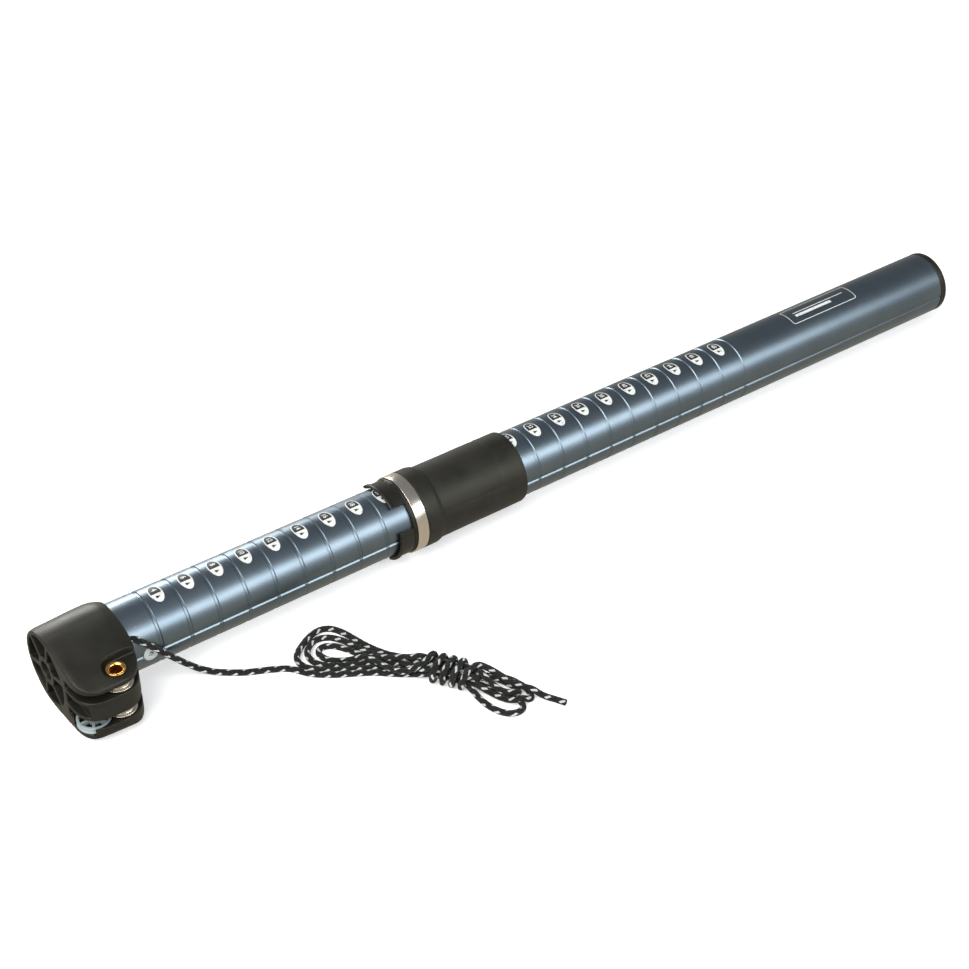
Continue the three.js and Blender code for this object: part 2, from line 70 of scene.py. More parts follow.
# %% [markdown]
# Every piece is drawn in millimetres about the tube's own axis, because that is how such a tube is
# measured: x counts from the head's end face, -y is the pulley side and z is up. One matrix then
# puts a finished mesh into the frame, where the unit is the metre. The frame's own parts say
# where that axis runs, so nothing is placed by eye.

# %% Where the tube's axis runs
plug_low, plug_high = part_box("tip_plug")
foot_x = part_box("pulley_head")[0].x
axis_y = (plug_low.y + plug_high.y) / 2
axis_z = (plug_low.z + plug_high.z) / 2
PLACE = Matrix.Translation((foot_x, axis_y, axis_z)) @ Matrix.Diagonal((.001, .001, .001, 1))
FLOOR = -axis_z * 1000            # the floor's height in the tube's own millimetres
TUBE_R = (plug_high.z - plug_low.z) * 500
TIP_X = (plug_high.x - foot_x) * 1000
HEAD_R = (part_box("lock_ring")[1].z - axis_z) * 1000 + .1
print("tube radius", round(TUBE_R, 2), "mm, tip at", round(TIP_X, 1), "mm")

# %% [markdown]
# ## The camera
# The camera comes first, with the line, because together they decide whether the line stays in
# view. It stands off the head end, on the pulley side, and looks down at 38 degrees. A long lens
# keeps the tube's sides nearly parallel.

# %% Camera
camera_data = bpy.data.cameras.new("camera")
camera_data.lens = 72.45
camera_data.sensor_width = 36
camera = bpy.data.objects.new("camera", camera_data)
camera.location = (-.635, -.8091, .8211)
camera.rotation_euler = Vector((.4565, .6365, -.6216)).to_track_quat("-Z", "Y").to_euler()
bpy.context.scene.collection.objects.link(camera)
bpy.context.scene.camera = camera
bpy.context.scene.view_settings.view_transform = "Standard"
print("camera", [round(v, 3) for v in camera.location])

# %% [markdown]
# ## The line's route
# The downhaul line is 4 mm braid, limp and about 1.4 metres long. It leaves the head
# beside the tube, drops over the tube's flank and runs along the floor to a hank: six runs folded
# to and fro, four turns of its own end round their middle, and a short tail. A curve drawn by
# hand would pass through itself where runs cross, so the route is only sketched and then
# settled: close runs push each other apart, the floor holds them up and a little weight pulls
# them down, until each run lies on what is under it.

# %% Sketch of the route
CORD_D = 4.0
RUN = [
    (33.4, -20.2, 15.2), (45, -20.2, 15.2), (49, -20.9, 14.4), (53.5, -23, 10.4), (58.5, -24.8, 5.4),
    (63.5, -25.6, -.6), (69, -26.4, -7), (75, -27.6, -13.6), (81, -29.4, -19.4), (87, -32.6, -23),
    (92.5, -36.8, -24.25), (98.5, -41.6, -24.25), (106, -46.6, -24.25), (114, -50.6, -24.25),
    (122, -54.6, -24.25), (130.4, -59.2, -24.25),
]
HANK_START = (150.5, -48.5)
HANK_HEADING = math.radians(-55)
BUNDLE = (1.0, 10.1)      # across and up: the middle of the bound runs
SLOT_R = 4.1


def slot_run(angle, forward):
    """One run through the bound middle: six lie round a seventh place, as round sticks do."""
    r = SLOT_R if angle is not None else 0
    a = math.radians(angle or 0)
    along = (77, 86, 95, 103)
    points = [(x, BUNDLE[0] + r * math.cos(a), BUNDLE[1] + r * math.sin(a)) for x in along]
    return points if forward else points[::-1]


LOW = CORD_D / 2 + .05
hank = [(8, -24.6, LOW), (20, -20.8, LOW), (32, -14.8, LOW), (44, -9.8, LOW), (56, -6.6, 3)]
hank += slot_run(210, True)
hank += [(112, -9.5, 3.5), (121, -15, LOW), (130, -17.2, LOW), (137.4, -15.8, LOW), (141.6, -11, LOW),
         (141, -5.4, LOW), (136.4, -2.4, 2.3), (128, -1.6, 3), (118, -.4, 4.5)]
hank += slot_run(270, False)
hank += [(62, 7, 3.5), (48, 6.7, LOW), (34, 9.4, LOW), (25.8, 12.2, LOW), (14, 16.8, LOW), (4, 18.2, LOW),
         (-1.5, 14.5, LOW), (-4.3, 6, LOW), (-5.3, -3, LOW), (-5.8, -11, LOW), (-4, -16.5, LOW),
         (1, -20, 2.3), (10, -20.3, LOW), (21, -16.6, LOW), (32, -10.8, LOW), (44, -5.8, LOW),
         (56, -2.6, 3)]
hank += slot_run(330, True)
hank += [(112, 11, 4), (122, 12.2, LOW), (131, 10.4, LOW), (138.8, 7, LOW), (143.6, 2.4, 3.4),
         (143, -3.2, 5.4), (138, -6.6, 6), (130.5, -7, 6), (122, -5, 5.5), (112, -2.5, 6.5)]
hank += slot_run(None, False)
hank += [(60, 4, 5), (46, 2.6, LOW), (34, 5.2, LOW), (26, 7.6, LOW), (15, 10.4, LOW), (5, 9.8, LOW),
         (-.6, 4.5, LOW), (-1.6, -3, LOW), (-.2, -9.5, LOW), (5, -14, LOW), (13, -15.8, LOW),
         (22, -12.6, LOW), (34, -6.4, LOW), (44, -1.6, LOW), (56, 1, 5)]
hank += slot_run(150, True)
hank += [(112, 7, 9), (121, 8.6, 6), (129, 7.6, 5.8), (134.6, 4, 5.9), (135.6, -1.4, 6.2), (130.6, -4.6, 7),
         (121, -3, 8.6), (112, 1.5, 10.5)]
hank += slot_run(30, False)
hank += [(60, .6, 8), (46, .6, 5.6), (34, 1.4, 3.8), (24, 3.2, 2.4), (14, 4.2, LOW), (6.5, 2, LOW),
         (4, -3, LOW), (6.5, -7.8, LOW), (14, -10, LOW), (24, -8.6, LOW), (34, -2.5, 4),
         (46, -4.5, 5.6), (56, -7.8, 6), (64, -9, 8.6), (70, -7.4, 13.2), (74, -3.8, 16.9)]
TURNS, TURN_POINTS, TURN_R = 4, 12, SLOT_R + CORD_D + .05
BOUND_FROM, BOUND_LENGTH = 77, 25
for i in range(TURNS * TURN_POINTS + 1):
    a = math.pi / 2 - 2 * math.pi * i / TURN_POINTS
    x = BOUND_FROM + BOUND_LENGTH * i / (TURNS * TURN_POINTS)
    hank.append((x, BUNDLE[0] + TURN_R * math.cos(a), BUNDLE[1] + TURN_R * math.sin(a)))
hank += [(104.6, 5.6, 17), (109, 8.6, 13.6), (115.4, 9, 10), (123, 7, 7.6), (132, 4.4, 6.5), (142, 4.2, 6),
         (150, 4.8, 2.4), (156, 4.6, LOW), (163.7, 3.6, LOW)]
print("the sketch has", len(RUN) + len(hank), "points")

# %% Even steps along the sketch
def smooth_line(points, step):
    """A smooth curve through the points, in even steps."""
    p = np.array(points, float)
    p = np.vstack([2 * p[0] - p[1], p, 2 * p[-1] - p[-2]])
    fine = []
    for a, b, c, d in zip(p, p[1:], p[2:], p[3:]):
        gaps = [max(math.dist(m, n), 1e-6) ** .5 for m, n in ((a, b), (b, c), (c, d))]
        t0, t1, t2, t3 = np.cumsum([0] + gaps)
        t = np.linspace(t1, t2, 16, endpoint=False)[:, None]
        ab, bc, cd = ((t1 - t) * a + (t - t0) * b) / (t1 - t0), ((t2 - t) * b + (t - t1) * c) / (t2 - t1), \
            ((t3 - t) * c + (t - t2) * d) / (t3 - t2)
        abc, bcd = ((t2 - t) * ab + (t - t0) * bc) / (t2 - t0), ((t3 - t) * bc + (t - t1) * cd) / (t3 - t1)
        fine.append(((t2 - t) * abc + (t - t1) * bcd) / (t2 - t1))
    fine = np.vstack(fine + [p[-2][None]])
    far = np.concatenate([[0], np.cumsum(np.linalg.norm(np.diff(fine, axis=0), axis=1))])
    even = np.linspace(0, far[-1], max(2, round(far[-1] / step)) + 1)
    return np.column_stack([np.interp(even, far, fine[:, k]) for k in range(3)])


cos_h, sin_h = math.cos(HANK_HEADING), math.sin(HANK_HEADING)
on_floor = [(HANK_START[0] + a * cos_h - n * sin_h, HANK_START[1] + a * sin_h + n * cos_h, z + FLOOR)
            for a, n, z in hank]
STEP = 1.5
route = smooth_line(RUN + on_floor, STEP)
print("the sketch is", round(len(route) * STEP), "mm long")

# %% Let the line settle
PUSH, EASE, WEIGHT, RETURN, MOST = .25, .2, .012, .01, .35      # shares or mm for each round


def settle(line, fixed, rounds=260):
    """Pushes a line's own runs apart, keeps it on the floor and eases its bends."""
    p, home = line.copy(), line
    gap = np.linalg.norm(np.diff(line, axis=0), axis=1).mean()
    far = np.abs(np.subtract.outer(np.arange(len(p)), np.arange(len(p)))) * gap > 2.2 * CORD_D
    free = np.ones((len(p), 1))
    free[:fixed] = 0
    for _ in range(rounds):
        apart = p[:, None] - p[None]
        dist = np.linalg.norm(apart, axis=2) + 1e-9
        near = far & (dist < CORD_D * 1.01)
        push = np.where(near, (CORD_D * 1.01 - dist) * PUSH / dist, 0)
        move = (push[:, :, None] * apart).sum(1)
        bend = np.zeros_like(p)
        bend[1:-1] = (p[:-2] + p[2:]) / 2 - p[1:-1]
        move += EASE * bend
        move[:, 2] -= WEIGHT
        move[:, :2] += RETURN * (home - p)[:, :2]
        p += np.clip(move, -MOST, MOST) * free
        p[:, 2] = np.maximum(p[:, 2], FLOOR + CORD_D / 2 + .03)
    return p


route = settle(route, fixed=int(112 / STEP))
route = smooth_line(route[::2], 1.0)
cord_length = float(np.linalg.norm(np.diff(route, axis=0), axis=1).sum())
print("the settled line is", round(cord_length), "mm long and tops out at",
      round(float(route[60:, 2].max() - FLOOR), 1), "mm over the floor")

# %% [markdown]
# The line itself is a curve with a round section, turned into a mesh at once. The conversion
# leaves a UV map that runs along the line and round it, which the braid's pattern needs later.

# %% The braided line
def finish_piece(mesh, name, body, nodes=(), sharp=35):
    """Links a mesh as a named piece that rides on a body and stands for the nodes it replaces."""
    mesh.name = name
    mesh.polygons.foreach_set("use_smooth", [True] * len(mesh.polygons))
    mesh.set_sharp_from_angle(angle=math.radians(sharp))
    piece = bpy.data.objects.new(name, mesh)
    bpy.context.scene.collection.objects.link(piece)
    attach(piece, body)
    if nodes:
        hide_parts(*nodes)
    return piece


def mesh_of(obj):
    """The finished mesh of an object with its modifiers or curve settings applied."""
    graph = bpy.context.evaluated_depsgraph_get()
    mesh = bpy.data.meshes.new_from_object(obj.evaluated_get(graph), depsgraph=graph)
    bpy.data.objects.remove(obj)
    return mesh


in_place = [PLACE @ Vector(p) for p in route]
line_curve = bpy.data.curves.new("line_curve", "CURVE")
line_curve.dimensions = "3D"
line_curve.bevel_depth = CORD_D / 2000
line_curve.bevel_resolution = 4
line_curve.use_fill_caps = True
spline = line_curve.splines.new("POLY")
spline.points.add(len(in_place) - 1)
for point, place in zip(spline.points, in_place):
    point.co = (*place, 1)
line_object = bpy.data.objects.new("line_curve", line_curve)
bpy.context.scene.collection.objects.link(line_object)
line = finish_piece(mesh_of(line_object), "downhaul_line", "base",
                    ("line_run", "line_hank", "line_tail"), sharp=80)
print("line:", len(line.data.polygons), "faces, UV maps", [layer.name for layer in line.data.uv_layers])

# %% [markdown]
# ## Turned pieces
# Tube, plug, ring, sleeve, sheaves and axle are all turned or moulded round an axis. The same
# helper makes them: a closed profile, its corners softened by a small bevel, spun once round.

# %% A helper for turned pieces
def turned(profile, steps, axis="X", soft=0.0, segments=2, centre=(0, 0)):
    """Spins a profile of (along the axis, radius) once round and returns the bmesh, in mm."""
    bm = bmesh.new()
    verts = [bm.verts.new((a, 0, r) if axis == "X" else (r, 0, a)) for a, r in profile]
    bm.faces.new(verts)
    if soft:
        corners = [v for v in bm.verts if (v.co.z if axis == "X" else v.co.x) > .01]
        bmesh.ops.bevel(bm, geom=corners, offset=soft, offset_type="OFFSET", segments=segments,
                        profile=.5, affect="VERTICES", clamp_overlap=True, material=-1)
    bmesh.ops.delete(bm, geom=bm.faces[:], context="FACES_ONLY")
    bmesh.ops.spin(bm, geom=bm.verts[:] + bm.edges[:], cent=(0, 0, 0), dvec=(0, 0, 0),
                   angle=2 * math.pi, steps=steps, use_merge=True,
                   axis=(1, 0, 0) if axis == "X" else (0, 0, 1))
    bmesh.ops.remove_doubles(bm, verts=bm.verts[:], dist=.002)
    bmesh.ops.dissolve_degenerate(bm, edges=bm.edges[:], dist=.001)
    bmesh.ops.recalc_face_normals(bm, faces=bm.faces[:])
    bmesh.ops.translate(bm, verts=bm.verts[:], vec=(*centre, 0))
    return bm


def placed(bm):
    """Puts a bmesh drawn in mm into the frame and returns it as a mesh."""
    bmesh.ops.transform(bm, matrix=PLACE, verts=bm.verts[:])
    mesh = bpy.data.meshes.new("piece")
    bm.to_mesh(mesh)
    bm.free()
    return mesh


# %% [markdown]
# ## The tube
# The real tube is drawn alloy, anodised, with a shallow square groove turned into it every 20 mm
# and a keyway milled along its pulley side. The grooves belong in the profile. The keyway would
# cost a boolean on a long dense mesh, so the few rows of vertices next to it are pressed in
# instead, which leaves a clean flat-bottomed channel.

# %% Grooved tube with its keyway
TUBE_FOOT, TUBE_END = 13.0, TIP_X - 5.3
GROOVE_FIRST, GROOVE_PITCH, GROOVES = 65.0, 20.0, 24
INNER_R = TUBE_R - 2.0
KEYWAY_FROM, KEYWAY_DEPTH = 45.0, .7

tube_profile = [(TUBE_FOOT, INNER_R), (TUBE_FOOT, TUBE_R - .4), (TUBE_FOOT + .4, TUBE_R),
                (KEYWAY_FROM - .2, TUBE_R), (KEYWAY_FROM + .2, TUBE_R)]
for i in range(GROOVES):
    x = GROOVE_FIRST + i * GROOVE_PITCH
    tube_profile += [(x - 1.25, TUBE_R), (x - .75, TUBE_R - .5), (x + .75, TUBE_R - .5),
                     (x + 1.25, TUBE_R)]
tube_profile += [(TUBE_END - .3, TUBE_R), (TUBE_END, TUBE_R - .3), (TUBE_END, INNER_R)]
tube = turned(tube_profile, 360)
KEY_EDGE, KEY_FLAT = math.radians(3.6), math.radians(2.4)
for v in tube.verts:
    radius = math.hypot(v.co.y, v.co.z)
    if v.co.x > KEYWAY_FROM and radius > INNER_R + .5:
        off = abs(math.atan2(v.co.z, -v.co.y))
        if off < KEY_EDGE:
            deep = KEYWAY_DEPTH * min(1, (KEY_EDGE - off) / (KEY_EDGE - KEY_FLAT))
            floor_r = min(radius, TUBE_R - deep) - (.3 if radius < TUBE_R - .4 and deep > .3 else 0)
            v.co.y, v.co.z = v.co.y * floor_r / radius, v.co.z * floor_r / radius
# The grooves' flanks take a near-black finish: painted shade inside each groove.
PLAIN, SHADED_FLANK, MILLED = 0, 1, 2      # the tube's surface, the grooves' flanks, the keyway
for face in tube.faces:
    c = face.calc_center_median()
    if math.hypot(c.y, c.z) > TUBE_R - 1.3:
        off = math.degrees(abs(math.atan2(c.z, -c.y)))
        if c.x > KEYWAY_FROM and off < 2.9:
            face.material_index = MILLED
        elif TUBE_R - .45 < math.hypot(c.y, c.z) < TUBE_R - .1 and TUBE_FOOT + 1 < c.x < TUBE_END - 1:
            face.material_index = SHADED_FLANK
tube = finish_piece(placed(tube), "grooved_tube", "base", ("mast_tube",), sharp=28)
print("tube:", len(tube.data.polygons), "faces")

# %% Tip plug
plug = turned([(TIP_X - 23.3, INNER_R - 2.8), (TIP_X - 23.3, INNER_R - 1.3), (TIP_X - 21.3, INNER_R - .3),
               (TIP_X - 5, INNER_R - .3), (TIP_X - 5, TUBE_R), (TIP_X, TUBE_R), (TIP_X, TUBE_R - 4),
               (TIP_X - .7, TUBE_R - 5), (TIP_X - .7, 0), (TIP_X - 2.5, 0), (TIP_X - 2.5, INNER_R - 2.8)],
              120, soft=.8, segments=4)
plug = finish_piece(placed(plug), "moulded_tip_plug", "base", ("tip_plug",))
print("tip plug:", len(plug.data.polygons), "faces")

# %% [markdown]
# ## The pulley head
# The head is one thick moulding: round behind, where the tube plugs in, and drawn out into a
# deep lip in front that carries two sheaves one above the other. It is modelled the way its mould
# is cut: a section drawn out through several sizes, trimmed by its outline from above, then
# slots, recesses, bores and end cells taken away. A fine remesh and a light smoothing round every
# edge at once, as a mould does, where an edge bevel would fail on so many crossing cuts.

# %% Solids for cutting
def to_object(bm, name="tool"):
    mesh = bpy.data.meshes.new(name)
    bmesh.ops.recalc_face_normals(bm, faces=bm.faces[:])
    bm.to_mesh(mesh)
    bm.free()
    obj = bpy.data.objects.new(name, mesh)
    bpy.context.scene.collection.objects.link(obj)
    return obj


def block(x0, x1, y0, y1, z0, z1):
    bm = bmesh.new()
    bmesh.ops.create_cube(bm, size=1)
    bmesh.ops.scale(bm, vec=(x1 - x0, y1 - y0, z1 - z0), verts=bm.verts[:])
    bmesh.ops.translate(bm, vec=((x0 + x1) / 2, (y0 + y1) / 2, (z0 + z1) / 2), verts=bm.verts[:])
    return bm


def rod(axis, start, end, radius, centre, sides=64):
    """A round bar along X or Z, from start to end; centre is its other two coordinates."""
    bm = bmesh.new()
    bmesh.ops.create_cone(bm, cap_ends=True, segments=sides, radius1=radius, radius2=radius,
                          depth=end - start)
    if axis == "X":
        bmesh.ops.rotate(bm, matrix=Matrix.Rotation(math.pi / 2, 3, "Y"), verts=bm.verts[:])
        bmesh.ops.translate(bm, vec=((start + end) / 2, *centre), verts=bm.verts[:])
    else:
        bmesh.ops.translate(bm, vec=(*centre, (start + end) / 2), verts=bm.verts[:])
    return bm


def combine(body, tool, operation="DIFFERENCE"):
    """Applies one boolean of a bmesh tool to an object and removes the tool."""
    cutter = to_object(tool)
    step = body.modifiers.new("cut", "BOOLEAN")
    step.operation, step.object, step.solver = operation, cutter, "EXACT"
    name = body.name
    mesh = mesh_of(body)
    bpy.data.objects.remove(cutter)
    body = bpy.data.objects.new(name, mesh)
    bpy.context.scene.collection.objects.link(body)
    return body


# %% The head's body
HEAD_LENGTH, HEAD_FRONT, LIP_TOP, LIP_FOOT = 45.0, 50.0, 16.8, -22.0
back = [(HEAD_R * math.cos(a), HEAD_R * math.sin(a)) for a in np.linspace(math.pi / 2, 1.5 * math.pi, 40)]
under = smooth_line([(0, -HEAD_R, 0), (8, -26, 0), (15, -25, 0), (29, -23.4, 0), (40, -22.4, 0),
                     (46.5, LIP_FOOT, 0)], 1.5)
nose = smooth_line([(46.5, LIP_FOOT, 0), (49, LIP_FOOT + 1.4, 0), (HEAD_FRONT, LIP_FOOT + 4, 0)], .6)
lip = smooth_line([(HEAD_FRONT, LIP_TOP - 3, 0), (49.2, LIP_TOP - 1.2, 0), (47, LIP_TOP, 0)], .6)
over = smooth_line([(47, LIP_TOP, 0), (38, 19.9, 0), (26, 22.9, 0), (14, 25.2, 0), (6, 26.1, 0),
                    (0, HEAD_R, 0)], 1.5)
section = back + [tuple(p[:2]) for p in [*under[1:], *nose[1:], *lip, *over[1:-1]]]
barrel = smooth_line([(-1, .95, 0), (0, .955, 0), (2.5, .98, 0), (9, .995, 0), (20, 1.01, 0),
                      (32, 1.02, 0), (38, 1.015, 0), (42, .99, 0), (46, .92, 0)], 1.6)
bm = bmesh.new()
lift = [(size - 1) * HEAD_R if size > 1 else 0 for size in barrel[:, 1]]      # it stays on the floor
start_x, start_size, _ = barrel[0]
skin = bm.faces.new([bm.verts.new((start_x, -u * start_size, z * start_size)) for u, z in section])
skin.normal_update()
if skin.normal.x < 0:
    skin.normal_flip()
for (x0, s0, _), (x1, s1, _), up0, up1 in zip(barrel, barrel[1:], lift, lift[1:]):
    grown = bmesh.ops.extrude_face_region(bm, geom=[skin])
    skin = next(g for g in grown["geom"] if isinstance(g, bmesh.types.BMFace))
    bmesh.ops.scale(bm, vec=(1, s1 / s0, s1 / s0), verts=skin.verts[:],
                    space=Matrix.Translation((0, 0, -up0)))
    bmesh.ops.translate(bm, vec=(x1 - x0, 0, up1 - up0), verts=skin.verts[:])
bm.faces.ensure_lookup_table()
inner_caps = [f for f in bm.faces if len(f.verts) > 8 and start_x + .1 < f.calc_center_median().x < 45.9]
bmesh.ops.delete(bm, geom=inner_caps, context="FACES_ONLY")
open_edges = [e for e in bm.edges if e.is_boundary]
if open_edges:
    bmesh.ops.holes_fill(bm, edges=open_edges, sides=0)
head = to_object(bm, "moulded_pulley_head")

outline = [(0, 29), (0, -25), (.4, -36), (2, -42.2), (5.4, -46.8), (10.8, -49.6), (18, -50.6), (25, -50.9),
           (31, -49.8), (35.5, -47.2), (39.2, -42.8), (42, -36.5), (44, -28), (45, -20), (45, 29)]
curve = smooth_line([(x, y, 0) for x, y in outline[1:-1]], 1.2)
bm = bmesh.new()
rim = [outline[0], *[tuple(p[:2]) for p in curve], outline[-1]]
plate = bm.faces.new([bm.verts.new((x, y, -30)) for x, y in rim])
risen = bmesh.ops.extrude_face_region(bm, geom=[plate])
bmesh.ops.translate(bm, vec=(0, 0, 60),
                    verts=[g for g in risen["geom"] if isinstance(g, bmesh.types.BMVert)])
head = combine(head, bm, "INTERSECT")
print("head body:", len(head.data.polygons), "faces")

# %% Slots, recesses, bores and end cells
AXLE = (27.0, -40.3)
WHEEL = (10.6, -36.9)
SLOT_LOW, SLOT_HIGH = 7.0, 13.2
cells = to_object(turned([(-1, 9.6), (-1, 22.7), (9, 22.7), (9, 9.6)], 96))
for i in range(3):
    rib = block(-3, 11, -1.2, 1.2, -28, 28)
    bmesh.ops.rotate(rib, matrix=Matrix.Rotation(math.radians(15 + 60 * i), 3, "X"), verts=rib.verts[:])
    cells = combine(cells, rib)
cells_bm = bmesh.new()
cells_bm.from_mesh(cells.data)
bpy.data.objects.remove(cells)
cuts = [
    rod("X", 12.7, 47, TUBE_R + .3, (0, 0), 120), rod("X", -2, 13, 6.3, (0, 0)), cells_bm,
    block(-2, 47, -60, -27, SLOT_LOW, SLOT_HIGH), block(-2, 47, -60, -27, -SLOT_HIGH, -SLOT_LOW),
    block(-2, 5.6, -60, -27, -4.6, 4.6), rod("Z", -18.3, -13.1, 11.2, WHEEL, 96),
    rod("Z", -30, -3.4, 1.9, WHEEL), rod("Z", -30, 30, 4.8, AXLE),
    rod("Z", -30, LIP_FOOT + 1.5, 6.7, AXLE), rod("Z", 16.9, 30, 7.9, AXLE),
    block(AXLE[0], 47, -60, -32.5, 16.9, 30), rod("X", 28, 47, 2.8, (-20.2, 15.2)),
    rod("X", 23.6, 32.4, 4.1, (-22.2, 16.8)),
]
for tool in cuts:
    head = combine(head, tool)
print("after", len(cuts), "cuts:", len(head.data.polygons), "faces")

# %% Rounded like a moulding
remesh = head.modifiers.new("even skin", "REMESH")
remesh.mode, remesh.voxel_size = "VOXEL", .42
ease = head.modifiers.new("ease", "SMOOTH")
ease.factor, ease.iterations = .5, 3
thin = head.modifiers.new("thin", "DECIMATE")
thin.ratio = .4
mesh = mesh_of(head)
mesh.transform(PLACE)
head = finish_piece(mesh, "moulded_pulley_head", "base", ("pulley_head",), sharp=60)
print("head:", len(head.data.polygons), "faces")

# %% [markdown]
# ## Axle, sheaves and guide wheel
# A hollow brass axle, rolled over at both ends, carries the two steel sheaves; the inside of its bore is
# painted near-black as shade. A spoked wheel under them keeps the line off the foot. The sheaves and the
# axle are spun; the wheel is a spun rim and hub joined by bars.

# %% Hollow axle
axle = turned([(LIP_FOOT, 3.7), (LIP_FOOT, 6.2), (LIP_FOOT + 1.2, 6.2), (LIP_FOOT + 1.2, 4.5),
               (17.2, 4.5), (17.2, 6.2), (18.6, 6.0), (18.4, 4.6), (17.6, 3.7)],
              72, "Z", soft=.35, segments=3, centre=AXLE)
# The faces inside the bore take the second finish: painted shade inside the hollow axle.
for face in axle.faces:
    c = face.calc_center_median()
    face.material_index = math.dist((c.x, c.y), AXLE) < 4.2 and abs(face.normal.z) < .3
axle = finish_piece(placed(axle), "rolled_brass_axle", "base", ("hollow_axle",))

# %% Sheaves
def sheave(name, body, node, middle):
    half = 2.5
    bm = turned([(middle - half, 6.4), (middle - half, 9.3), (middle - half + .7, 9.3),
                 (middle - 1.1, 7.6), (middle, 7.1), (middle + 1.1, 7.6), (middle + half - .7, 9.3),
                 (middle + half, 9.3), (middle + half, 6.4)], 96, "Z", soft=.22, segments=3, centre=AXLE)
    return finish_piece(placed(bm), name, body, (node,))


upper = sheave("grooved_sheave_upper", "sheave_upper", "upper_sheave", 10.1)
lower = sheave("grooved_sheave_lower", "sheave_lower", "lower_sheave", -10.1)

# %% Spoked wheel
wheel_foot, wheel_top = -17.8, -13.6
wheel = turned([(wheel_foot, 8.7), (wheel_foot, 10.4), (wheel_foot + .9, 10.4),
                ((wheel_foot + wheel_top) / 2, 9.7), (wheel_top - .9, 10.4), (wheel_top, 10.4),
                (wheel_top, 8.7)], 96, "Z", soft=.25, segments=3)
hub = turned([(wheel_foot, 1.9), (wheel_foot, 3.6), (wheel_top, 3.6), (wheel_top, 1.9)],
             48, "Z", soft=.3, segments=3)
hub_mesh = bpy.data.meshes.new("hub")
hub.to_mesh(hub_mesh)
hub.free()
wheel.from_mesh(hub_mesh)
for i in range(6):
    spoke = block(3.2, 9.2, -.75, .75, wheel_foot + .6, wheel_top - .6)
    bmesh.ops.bevel(spoke, geom=spoke.edges[:], offset=.25, offset_type="OFFSET", segments=2, profile=.5,
                    affect="EDGES", clamp_overlap=True, material=-1)
    bmesh.ops.rotate(spoke, matrix=Matrix.Rotation(math.radians(60 * i), 3, "Z"), verts=spoke.verts[:])
    spoke.to_mesh(hub_mesh)
    spoke.free()
    wheel.from_mesh(hub_mesh)
bmesh.ops.translate(wheel, vec=(*WHEEL, 0), verts=wheel.verts[:])
wheel = finish_piece(placed(wheel), "spoked_guide_wheel", "wheel", ("guide_wheel",))
print("axle", len(axle.data.polygons), "sheave", len(upper.data.polygons), "wheel",
      len(wheel.data.polygons), "faces")

# %% [markdown]
# ## Screws
# Two countersunk screws with a hexagon socket hold the core in the tube's foot. The head is spun
# and dished slightly; the socket is a six-sided tool taken out of it.

# %% Countersunk screws
def core_screw(side, name, node):
    reach = TUBE_R
    bm = turned([(reach - 8, 0), (reach - 8, 2.4), (reach - 2.6, 2.4), (reach - .9, 4.9), (reach + .35, 4.9),
                 (reach + .5, 4.4), (reach + .62, 0)], 72, "Z", soft=.12)
    hexagon = rod("Z", reach - 1.9, reach + 1, 1.7, (0, 0), 6)
    body = combine(to_object(bm), hexagon)
    turn = Matrix.Rotation(math.pi / 2 * (1 if side < 0 else -1), 4, "X")
    body.data.transform(Matrix.Translation((57, 0, 0)) @ turn)
    mesh = mesh_of(body)
    mesh.transform(PLACE)
    return finish_piece(mesh, name, "base", (node,))


front_screw = core_screw(-1, "hex_screw_front", "core_screw_front")
back_screw = core_screw(1, "hex_screw_back", "core_screw_back")

# %% [markdown]
# ## The locking collar
# The collar is a core with three springy fingers, a steel ring that slides over them to lock
# them into a groove, and a rubber sleeve with a flange that the mast stands on. The core is spun
# and three windows are taken out of it; the sleeve keeps a few creases, pushed into its skin.

# %% Collar core with its fingers
COLLAR_X, ROOT_X, RING_X, FLANGE_X = 233.0, 244.0, 246.0, 254.3
SLEEVE_END = FLANGE_X + 79
bore, finger_r, lip_r, core_r = TUBE_R + .3, TUBE_R + 2.5, TUBE_R + 3.4, TUBE_R + 1.0
core = turned([(COLLAR_X, bore + 1.4), (COLLAR_X, lip_r - .3), (COLLAR_X + .5, lip_r),
               (COLLAR_X + 2, lip_r), (COLLAR_X + 2.8, finger_r), (ROOT_X - .4, finger_r),
               (ROOT_X - .2, finger_r - .6), (ROOT_X + .4, finger_r - .6), (ROOT_X + .6, finger_r),
               (FLANGE_X + 1, finger_r), (FLANGE_X + 2, core_r), (COLLAR_X + 92, core_r),
               (COLLAR_X + 92, bore), (COLLAR_X + 3, bore)], 144, soft=.12, segments=2)
core = to_object(core, "fingered_collar_core")
for i in range(3):
    start, sweep = math.radians(15 + 120 * i), math.radians(40)
    bm = bmesh.new()
    corners = [(15, start), *[(32, start + sweep * k / 8) for k in range(9)], (15, start + sweep)]
    wedge = bm.faces.new([bm.verts.new((COLLAR_X - 1, -r * math.cos(a), r * math.sin(a)))
                          for r, a in corners])
    grown = bmesh.ops.extrude_face_region(bm, geom=[wedge])
    bmesh.ops.translate(bm, vec=(ROOT_X - COLLAR_X + 1, 0, 0),
                        verts=[g for g in grown["geom"] if isinstance(g, bmesh.types.BMVert)])
    core = combine(core, bm)
core = combine(core, block(COLLAR_X + 77.7, COLLAR_X + 93, -28, -TUBE_R + .4, -1.1, 1.1))
mesh = mesh_of(core)
mesh.transform(PLACE)
core = finish_piece(mesh, "fingered_collar_core", "collar", ("collar_core",))

# %% Lock ring
ring = turned([(RING_X, finger_r + .3), (RING_X, finger_r + 1.2), (RING_X + 8, finger_r + 1.2),
               (RING_X + 8, finger_r + .3)], 180, soft=.22, segments=3)
ring = finish_piece(placed(ring), "brushed_lock_ring", "ring", ("lock_ring",))

